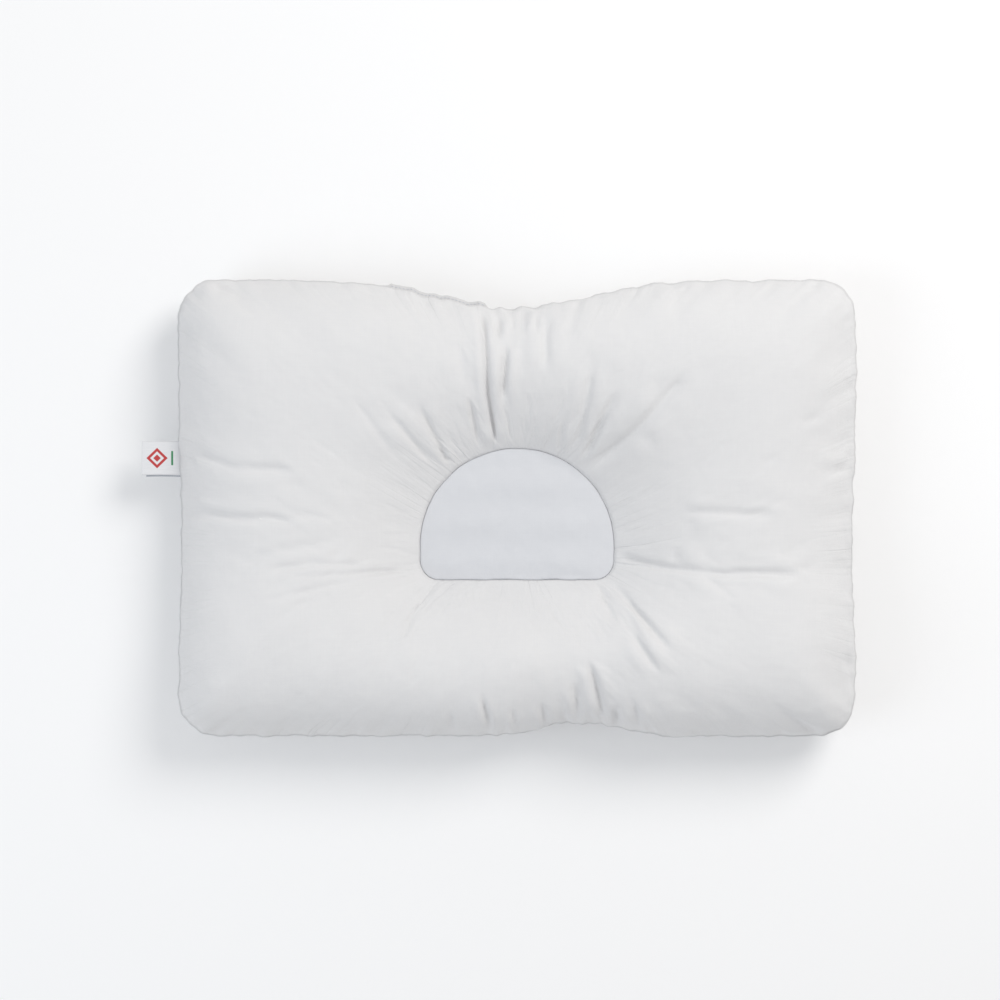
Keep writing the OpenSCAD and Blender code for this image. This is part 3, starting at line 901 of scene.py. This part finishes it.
def head_crumple(x, y):
    """Small unevenness of the cloth over the pad."""
    return HEAD_LUMP * noise.noise(Vector((x, y, 0.3)) / HEAD_LUMP_PITCH) \
        + HEAD_CREASE * noise.noise(Vector((x, y, 0.7)) / HEAD_CREASE_PITCH)


head_loops, head_places = [], []
for share in HEAD_SHARES:
    line = CENTRE + (thin(head_line, head_points(share)) - CENTRE) * share
    rise = HEAD_DOME * (1 - share ** 3)
    band = BAND_H * np.cos(2 * math.pi * (line[:, 1] - CENTRE[1]) / BAND_PITCH) * (1 - share ** 4)
    crumple = np.array([head_crumple(x, y) for x, y in line]) * min(1, (1 - share) * 12)
    head_loops.append(np.column_stack([line, HEAD_H + rise + band + crumple]))
    head_places.append(line)
for out, drop in HEAD_RIM:
    head_loops.append(head_ring(out, drop))
    head_places.append(head_outline(turn, drop))
head_panel = loft("cover_head", head_loops, head_places, first_cap=True)
inward = [RIM_GAP + (1 - share) * HEAD_GAP + 0 * turn for share in HEAD_SHARES] \
    + [RIM_GAP + 0 * turn] * len(HEAD_RIM)
mark(head_panel, "by_head", by_seam(head_line, inward, head_loops))
mark(head_panel, "by_edge", by_seam(head_line, [NO_SEAM + 0 * turn] * len(head_loops), head_loops))
apply_modifier(head_panel, "SOLIDIFY", thickness=SHOWN_T, offset=-1)
HEAD_LIGHT, HEAD_DARK = (0.725, 0.735, 0.76), (0.67, 0.68, 0.707)
head_ticking, head_links = woven_cloth("head_ticking", HEAD_LIGHT, HEAD_DARK)
head_ticking.wear(head_panel, **head_links)
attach(head_panel, "pillow")
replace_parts(head_panel, "head_panel")


# ---- Centre wall --------------------------------------------------------------------------------
# A D-shaped wall of the cooler cloth. It hangs from the D seam and ties it to the back panel, where
# its foot is turned in and stitched down. It carries no fill, so it stands in small pleats.

WALL_T = 0.00045
WALL_TOP = HEAD_H - 0.001
PLEAT, PLEAT_PITCH = 0.0004, 0.012
# Rings of the wall from its foot up: how far out of the D line, how high, and how freely they pleat.
WALL_RINGS = ((-0.009, 0.00145, 0), (-0.004, 0.0015, 0), (-0.0011, 0.0017, 0), (-0.0007, 0.004, 0.3),
              (-0.0006, 0.012, 1), (-0.0006, 0.022, 1), (-0.0006, 0.032, 0.8),
              (-0.0001, HEAD_H - 0.008, 0), (-0.0001, WALL_TOP, 0))
pleats = PLEAT * line_noise(head_line, PLEAT_PITCH, 60)
head_out = line_out(head_line)
wall_loops, wall_places = [], []
for out, height, slack in WALL_RINGS:
    points = head_outline(turn, out) + head_out * (slack * pleats)[:, None]
    wall_loops.append(np.column_stack([points, np.full(STATIONS, height)]))
    wall_places.append(head_line + head_out * height)
centre_wall = loft("inner_wall", wall_loops, wall_places)
apply_modifier(centre_wall, "SOLIDIFY", thickness=WALL_T, offset=1)
head_ticking.put_on(centre_wall)
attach(centre_wall, "pillow")
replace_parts(centre_wall, "centre_wall")


# ---- Head pad -----------------------------------------------------------------------------------
# A flat cushion of the same loose fibre inside the centre wall, which the head rests on.

FIBRE_DARK, FIBRE_LIGHT = (0.84, 0.84, 0.82), (0.93, 0.93, 0.92)
STRAND_SCALE, STRAND_STRETCH, TUFT_SCALE = 260, 0.35, 40
STRAND_H, TUFT_H = 0.0006, 0.003
fibre = Paint("fibre", Roughness=0.95, Sheen_Weight=0.3, Specular_IOR_Level=0.1)
spot = fibre.object_place()
strands = fibre.noise(spot, STRAND_SCALE, 4, (1, STRAND_STRETCH, 1)) \
    + fibre.noise(spot, STRAND_SCALE, 4, (STRAND_STRETCH, 1, 1))
tufts = fibre.noise(spot, TUFT_SCALE, 3)
fibre_bump = fibre.bump(0.9, STRAND_H * strands + TUFT_H * tufts)
fibre_colour = fibre.blend(0.5 * strands + 0.3 * tufts - 0.2, FIBRE_DARK, FIBRE_LIGHT)

PAD_LOW, PAD_ROUND, PAD_OUT = 0.0032, 0.009, -0.0042
PAD_TOP, PAD_SHOULDER = HEAD_H - 0.0026, HEAD_H - 0.0024
PAD_LUMP, PAD_LUMP_PITCH = 0.0009, 0.024
PAD_BULGE, PAD_BULGE_TURNS = 0.0006, 400
PAD_SOLE, PAD_SOLE_H = 0.0105, 0.007
PAD_SHARES = (0.16, 0.32, 0.48, 0.62, 0.74)
PAD_TURNS = [step * math.pi / 16 for step in range(9)]
PAD_SIDES = (0.031, 0.024, 0.018)


def pad_ring(share, out, height, seed):
    """A ring of the pad, a share of the D's size and a little lumpy."""
    points = CENTRE + (head_outline(turn, out) - CENTRE) * share
    lumps = [noise.noise(Vector((x, y, height)) / PAD_LUMP_PITCH + Vector((seed, 0, 0))) for x, y in points]
    return np.column_stack([points, height - PAD_LUMP * abs(np.array(lumps))])


upper = [pad_ring(share, PAD_OUT, PAD_TOP + HEAD_DOME * (1 - share ** 3), 3) for share in PAD_SHARES]
turned = [pad_ring(1, PAD_OUT - PAD_ROUND * (1 - math.sin(angle)),
                   PAD_SHOULDER - PAD_ROUND * (1 - math.cos(angle)), 5) for angle in PAD_TURNS]
sides = [pad_ring(1, PAD_OUT - PAD_BULGE * math.sin(height * PAD_BULGE_TURNS), height, 7)
         for height in PAD_SIDES]
under = [pad_ring(1, PAD_OUT - 0.5 * PAD_ROUND * (1 - math.cos(angle)),
                  PAD_SOLE - PAD_SOLE_H * math.sin(angle), 9) for angle in (0.3, 0.7, 1.1, 1.5)]
lower = [pad_ring(share, PAD_OUT, PAD_LOW + PAD_LUMP, 11) for share in (0.8, 0.5, 0.2)]
head_pad = loft("fibre_head", upper + turned + sides + under + lower, first_cap=True, last_cap=True)
fibre.wear(head_pad, Base_Color=fibre_colour, Normal=fibre_bump)
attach(head_pad, "pillow")
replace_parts(head_pad, "head_pad")


# ---- Fibre fill of the four lobes ---------------------------------------------------------------
# Loose hollow polyester fibre: the neck roll, the crown roll and a lobe at each side. Nothing but the
# cover holds it, so it lies close under the cloth, with room for the turned-in edges of the seams.

FILL_INSET = 0.0028
SEAM_ROOM, SEAM_ROOM_RUN = 0.0105, 0.014
FILL_TOP_ROWS, FILL_BACK_ROWS = slice(66, 1, -4), slice(1, 37, 3)  # the cover's rows it lies under
FILL_TUFT, FILL_TUFT_PITCH = 0.012, 0.02
LOBE_END = 0.97
LOBE_ROUNDING = (0.12, 0.45, 0.8)


def under_cloth(rows, share, inwards):
    """Rows just inside the cover, and further in by the edge seam, where its cloth is turned in."""
    inner = rows + inwards * row_normals(rows) * FILL_INSET
    room = SEAM_ROOM * np.exp(-((1 - share)[:, None] * reach / SEAM_ROOM_RUN) ** 2)
    inner[..., :2] -= room[..., None] * edge_out
    return inner


rows_up = under_cloth(top_rows, top_share, -1)[FILL_TOP_ROWS]
rows_down = under_cloth(back_rows, back_share[::-1], 1)[FILL_BACK_ROWS]
rows_by_wall = [rows_up[-1] + (rows_down[0] - rows_up[-1]) * share for share in (0.25, 0.5, 0.75)]
fill_rows = np.concatenate([rows_up, rows_by_wall, rows_down])[:, ::2]


def lobe(name, first, last):
    """Fibre from one corner of the pillow to the next, counted in columns of the cover."""
    columns = [fill_rows[:, k % fill_rows.shape[1]] for k in range(first + 1, last)]
    sections = []
    for section in columns:
        middle = section.mean(axis=0)
        lumps = np.array([abs(noise.noise(Vector(p) / FILL_TUFT_PITCH)) for p in section])
        sections.append(section + (middle - section) * (FILL_TUFT * lumps)[:, None])
    for end in (0, -1):
        section, middle = sections[end], sections[end].mean(axis=0)
        rounded = [middle + (section - middle) * share for share in LOBE_ROUNDING]
        sections[end] = middle + (section - middle) * LOBE_END
        sections = rounded + sections if end == 0 else sections + rounded[::-1]
    piece = loft(name, sections, first_cap=True, last_cap=True)
    fibre.put_on(piece)
    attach(piece, "pillow")
    return piece


# The crown roll, the left side, the neck roll and the right side, from corner to corner.
corners = np.searchsorted(turn, CORNER_TURNS).tolist()
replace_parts(lobe("fibre_crown", corners[0], corners[1]), "crown_roll_fill")
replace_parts(lobe("fibre_left", corners[1], corners[2]), "left_side_fill")
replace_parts(lobe("fibre_neck", corners[2], corners[3]), "neck_roll_fill")
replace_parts(lobe("fibre_right", corners[3], corners[0] + STATIONS), "right_side_fill")


# ---- Stitches -----------------------------------------------------------------------------------
# Every seam is lockstitched with thick white polyester thread. Each stitch is a bead of thread that
# dives into the cloth at both ends. Most of them are inside; the closing seam's show on its lip.

THREAD_R = 0.00025
# A bead of thread from end to end: how far along, how thick, and how deep in the cloth.
BEAD = ((-1.0, 0.5, 0.9), (-0.85, 0.85, 0.45), (-0.45, 1.0, 0.08), (0, 1.0, 0.0), (0.45, 1.0, 0.08),
        (0.85, 0.85, 0.45), (1.0, 0.5, 0.9))
BEAD_SIDES = 6


def stitch_row(name, line, cloth_side, pitch, length, closed=True):
    """Stitches along a line. cloth_side points from the line to the cloth, once or at each point."""
    track = np.column_stack([line, np.broadcast_to(cloth_side, line.shape)])
    if closed:
        track = np.concatenate([track, track[:1]])
    run = np.concatenate([[0], np.cumsum(np.linalg.norm(np.diff(track[:, :3], axis=0), axis=1))])
    count = int(run[-1] / pitch)
    spokes = [corner * 2 * math.pi / BEAD_SIDES for corner in range(BEAD_SIDES)]
    points, faces = [], []
    for k in range(count):
        at = (k + 0.5) * run[-1] / count
        low, middle, high = (np.array([np.interp(at + shift, run, track[:, axis]) for axis in range(6)])
                             for shift in (-length / 2, 0, length / 2))
        into = middle[3:] / np.linalg.norm(middle[3:])
        low, middle, high = low[:3], middle[:3], high[:3]
        along = (high - low) / np.linalg.norm(high - low)
        side = np.cross(along, into)
        base = len(points)
        for share, girth, dive in BEAD:
            heart = middle + along * share * length / 2 + into * dive * THREAD_R
            points += [(heart + (math.cos(angle) * side + math.sin(angle) * into) * THREAD_R * girth).tolist()
                       for angle in spokes]
        for ring in range(len(BEAD) - 1):
            a = base + ring * BEAD_SIDES
            b = a + BEAD_SIDES
            faces += [(a + c, b + c, b + (c + 1) % BEAD_SIDES, a + (c + 1) % BEAD_SIDES)
                      for c in range(BEAD_SIDES)]
        faces.append(tuple(range(base, base + BEAD_SIDES)))
        faces.append(tuple(range(b + BEAD_SIDES - 1, b - 1, -1)))
    return smooth_mesh(name, points, faces)


THREAD_DARK, THREAD_LIGHT = (0.60, 0.63, 0.69), (0.76, 0.78, 0.82)
PLY_SCALE, PLY_H = 2600, 0.0001
thread = Paint("thread", Roughness=0.45, Sheen_Weight=0.2)
ply = thread.noise(thread.object_place(), PLY_SCALE, 2)
thread_bump = thread.bump(0.8, PLY_H * ply)
thread_colour = thread.blend(ply, THREAD_DARK, THREAD_LIGHT)


def sew(rows, node):
    """Joins rows of stitches into the piece that replaces one thread of the CAD."""
    only(rows[0])
    for row in rows[1:]:
        row.select_set(True)
    if len(rows) > 1:
        bpy.ops.object.join()
    thread.wear(rows[0], Base_Color=thread_colour, Normal=thread_bump)
    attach(rows[0], "pillow")
    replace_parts(rows[0], node)


def raised(line, height):
    """A flat line at one height."""
    return np.column_stack([line, np.full(len(line), height)])


STITCH_PITCH, STITCH_LENGTH = 0.003, 0.0026

# The edge seam: a row on either side of the cloth, just inside the pillow's edge.
EDGE_STITCH_IN, FLANGE = 0.003, 0.0011
edge_seam = seam.copy()
edge_seam[:, :2] -= edge_out * EDGE_STITCH_IN
sew([stitch_row("edge_stitches", edge_seam + np.array([0, 0, side * FLANGE]), (0, 0, -side),
                STITCH_PITCH, STITCH_LENGTH) for side in (1, -1)], "edge_seam_thread")

# The tie seam: one row through the centre wall's foot into the back panel.
TIE_OUT, TIE_H = -0.0045, 0.0022
tie_line = raised(head_outline(turn, TIE_OUT), TIE_H)
sew([stitch_row("tie_stitches", tie_line, (0, 0, -1), STITCH_PITCH, STITCH_LENGTH)], "back_tie_thread")

# The D seam: a row on either side of the three layers that hang down from it.
HEAD_STITCH_DROP = 0.004
HEAD_STITCH_ROWS = ((0.00105, -1), (-0.00165, 1))
toward = raised(head_out, 0)
sew([stitch_row("head_stitches", raised(head_outline(turn, out), HEAD_H - HEAD_STITCH_DROP), side * toward,
                STITCH_PITCH, STITCH_LENGTH) for out, side in HEAD_STITCH_ROWS], "head_seam_thread")

# The closing seam: topstitched along its lip on both faces, after the pillow was filled.
TOPSTITCH_PITCH, TOPSTITCH_LENGTH = 0.0035, 0.0024
LIP_HALF_T, PAST_LIP = 0.00092, 0.001
on_lip = (edge_y > 0) & (abs(edge_x - CLOSING_X) < CLOSING_LENGTH / 2 + PAST_LIP)
lip_line = (seam + raised(edge_out, 0) * CLOSING_LIP / 2)[on_lip]
sew([stitch_row("closing_stitches", lip_line + np.array([0, 0, side * LIP_HALF_T]), (0, 0, -side),
                TOPSTITCH_PITCH, TOPSTITCH_LENGTH, closed=False) for side in (1, -1)], "closing_seam_thread")


# ---- Labels -------------------------------------------------------------------------------------
# A woven satin tape, folded on itself and caught in the left side seam by both its ends, and a thin
# plain tape for care notes under it, dark grey as painted shade. Both start between the cover's raw
# edges and bend at the seam.

label_low, label_high = box_corners("woven_label")
care_low, care_high = box_corners("care_label")
LABEL_ROOT, LABEL_TIP = label_high.x, label_low.x
LABEL_Y, LABEL_W = (label_low.y + label_high.y) / 2, label_high.y - label_low.y
LEAF_T, FOLD_R, IN_SEAM = 0.00035, 0.0009, 0.006
TAPE_LENGTH, TAPE_HALF_W = 0.033, 0.0155
TAPE_STEPS, TAPE_ROWS = 32, 24
ARCH, TWIST, RIPPLE, DRAWN_IN = 0.0013, 0.00096, 0.0005, 0.0004


def tape_wave(out, y):
    """How far a tape has curled from flat: out from the seam by that much, and y from its middle."""
    share = np.clip(out / TAPE_LENGTH, 0, 1)
    arch = ARCH * np.sin(2.6 * share) * share
    twist = TWIST * share ** 2 * (y / TAPE_HALF_W)
    ripple = RIPPLE * np.sin(y * 180 + 1) * share
    return arch - twist + ripple


def tape(name, route, low_y, high_y):
    """A strip of tape that follows a route of (distance out of the seam, height), wavy across."""
    rows, places = [], []
    run = np.concatenate([[0], np.cumsum(np.linalg.norm(np.diff(route, axis=0), axis=1))])
    across = np.linspace(low_y, high_y, TAPE_ROWS)
    aside = across - LABEL_Y
    for (out, height), distance in zip(route, run):
        lift = height + tape_wave(out, aside)
        waist = np.sin(math.pi * np.clip(out / TAPE_LENGTH, 0, 1))
        drawn = DRAWN_IN * waist * aside / TAPE_HALF_W
        rows.append(np.column_stack([np.full(TAPE_ROWS, LABEL_ROOT - out), across - drawn, SEAM_H + lift]))
        places.append(np.column_stack([np.full(TAPE_ROWS, distance), aside]))
    starts = [row * TAPE_ROWS + k for row in range(len(rows) - 1) for k in range(TAPE_ROWS - 1)]
    faces = [(a, a + 1, a + TAPE_ROWS + 1, a + TAPE_ROWS) for a in starts]
    return smooth_mesh(name, np.concatenate(rows), faces, places)


# The woven label: its upper leaf runs out of the seam, its end is a small round fold, and its lower
# leaf runs back.
LEAF_RUN = LABEL_ROOT - LABEL_TIP - FOLD_R
LEAF_GAP = 0.00024
BEND_R = FOLD_R - LEAF_T / 2
LABEL_LENGTH = 2 * (IN_SEAM + LEAF_RUN) + math.pi * BEND_R
outs = np.concatenate([[-IN_SEAM, -0.003, -0.0005], np.linspace(0.0005, LEAF_RUN, TAPE_STEPS)])
apart = LEAF_GAP + (BEND_R - LEAF_GAP) * ease(outs / LEAF_RUN)
bends = np.linspace(0, math.pi, 11)[1:-1]
fold = np.column_stack([LEAF_RUN + BEND_R * np.sin(bends), BEND_R * np.cos(bends)])
label_route = np.concatenate([np.column_stack([outs, apart]), fold, np.column_stack([outs, -apart])[::-1]])
woven_label = tape("side_tape", label_route, LABEL_Y - LABEL_W / 2, LABEL_Y + LABEL_W / 2)
apply_modifier(woven_label, "SOLIDIFY", thickness=LEAF_T * 0.8, offset=0)

SATIN_DARK, SATIN_LIGHT = (0.72, 0.73, 0.745), (0.82, 0.82, 0.83)
RED, GREEN = (0.52, 0.05, 0.05), (0.05, 0.25, 0.11)
DIAMOND_RINGS = (0.0095, 0.0062, 0.0034)
DIAMOND_ASIDE, BAR_ASIDE = 0.002, 0.0115
BAR_HALF_W, BAR_HALF_H = 0.0009, 0.0065
DIAMOND_BLUR, BAR_BLUR = 0.0003, 0.0002
RIB_PITCH, WEFT_PITCH = 0.00055, 0.0011
LEAF_MIDDLE = IN_SEAM + 0.017
satin = Paint("satin", Roughness=0.42, Specular_IOR_Level=0.4, Sheen_Weight=0.1)
run_out, run_across, _ = satin.axes(satin.cloth_map())


def motif(middle, to_seam):
    """Where one leaf is red, in a diamond round a smaller one, and where it is green, in a bar."""
    aside = (run_out - (middle + to_seam * DIAMOND_ASIDE)).size() + run_across.size()
    outer, hole, heart = (aside.below(size, DIAMOND_BLUR) for size in DIAMOND_RINGS)
    beside = (run_out - (middle - to_seam * BAR_ASIDE)).size()
    bar = beside.below(BAR_HALF_W, BAR_BLUR) * run_across.size().below(BAR_HALF_H, BAR_BLUR)
    return outer - hole + heart, bar


upper_red, upper_green = motif(LEAF_MIDDLE, 1)
lower_red, lower_green = motif(LABEL_LENGTH - LEAF_MIDDLE, -1)
ribs = (run_across * (2 * math.pi / RIB_PITCH)).sine() * (run_out * (2 * math.pi / WEFT_PITCH)).sine()
satin_tone = satin.noise(satin.cloth_map(), 700, 2, (0.2, 1, 1))
plain_tape = satin.blend(satin_tone, SATIN_DARK, SATIN_LIGHT)
with_red = satin.blend(upper_red + lower_red, plain_tape, RED)
with_green = satin.blend(upper_green + lower_green, with_red, GREEN)
satin_bump = satin.bump(0.5, 0.00003 * ribs + 0.00006 * satin_tone)
satin.wear(woven_label, Base_Color=with_green, Normal=satin_bump)
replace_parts(woven_label, "woven_label")

# The care label: one leaf that leaves the seam under the woven label and hangs a little below it.
# Its dark grey is painted shade: the shadow line under the woven label's lower edge.
CARE_T = care_high.z - care_low.z
CARE_START, CARE_BEND_RUN = 0.0005, 0.008
CARE_SAG, CARE_SAG_RUN = 0.0004, 0.03
CARE_DROP = SEAM_H - (care_low.z + care_high.z) / 2
care_outs = np.concatenate([[-IN_SEAM, -0.003], np.linspace(0, LABEL_ROOT - care_low.x, TAPE_STEPS)])
care_heights = -CARE_START - (CARE_DROP - CARE_START) * ease(care_outs / CARE_BEND_RUN) \
    - CARE_SAG * ease(care_outs / CARE_SAG_RUN)
care_label = tape("care_tape", np.column_stack([care_outs, care_heights]), care_low.y, care_high.y)
apply_modifier(care_label, "SOLIDIFY", thickness=CARE_T * 0.9, offset=0)

# Painted shade: dark grey for the shadow under the woven label, with a faint grain.
CARE_SHADOW_DARK, CARE_SHADOW_LIGHT = (0.46, 0.48, 0.52), (0.58, 0.60, 0.64)
care_shadow_paint = Paint("care_shadow_paint", Roughness=0.5, Specular_IOR_Level=0.3)
care_grain = care_shadow_paint.noise(care_shadow_paint.cloth_map(), 900, 2, (1, 0.2, 1))
care_bump = care_shadow_paint.bump(0.5, 0.00006 * care_grain)
care_shadow_paint.wear(care_label, Base_Color=care_shadow_paint.blend(care_grain, CARE_SHADOW_DARK, CARE_SHADOW_LIGHT), Normal=care_bump)
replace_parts(care_label, "care_label")

# Both labels have their transforms baked into their points.
for piece in (woven_label, care_label):
    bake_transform(piece)
